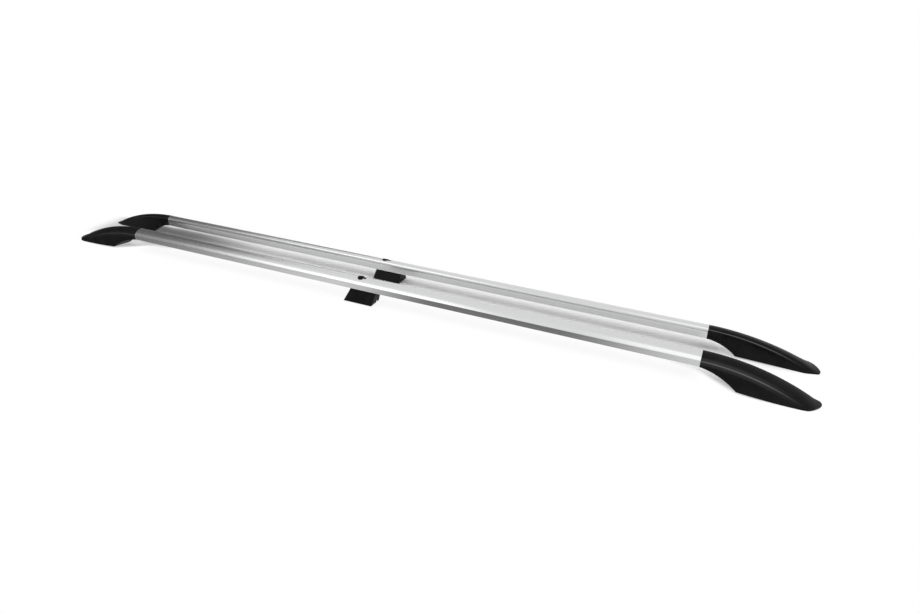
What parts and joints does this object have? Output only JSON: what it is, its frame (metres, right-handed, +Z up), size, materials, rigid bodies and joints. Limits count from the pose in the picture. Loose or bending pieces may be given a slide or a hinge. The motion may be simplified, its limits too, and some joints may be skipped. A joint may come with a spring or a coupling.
{
  "type": "roof side rail pair",
  "caption": "Straight hollow aluminium side rails with a D-shaped section, on sweeping moulded feet and a small centre support, for a car's roof.",
  "frame": {"origin": "on the ground, midway between the two rails and midway along them", "axes": "+X along the rails towards the car's front, +Y across the car to its left side, +Z up"},
  "size_m": [2.612, 0.257, 0.0772],
  "materials": {
    "rail": "satin anodised, with fine lines along its length",
    "foot": "moulded with a fine grain",
    "plug": "matt",
    "steel": "zinc plated",
    "screw": "zinc plated"
  },
  "bodies": {
    "root": {"right_rail": "rail", "right_front_foot": "foot", "right_front_foot_bush": "steel", "right_front_foot_screws": "screw", "right_rear_foot": "foot", "right_rear_foot_bush": "steel", "right_rear_foot_screws": "screw", "right_support": "foot", "right_support_sleeve": "steel", "right_support_screws": "screw", "right_plug": "plug", "left_rail": "rail", "left_front_foot": "foot", "left_front_foot_bush": "steel", "left_front_foot_screws": "screw", "left_rear_foot": "foot", "left_rear_foot_bush": "steel", "left_rear_foot_screws": "screw", "left_support": "foot", "left_support_sleeve": "steel", "left_support_screws": "screw", "left_plug": "plug"}
  },
  "joints": []
}
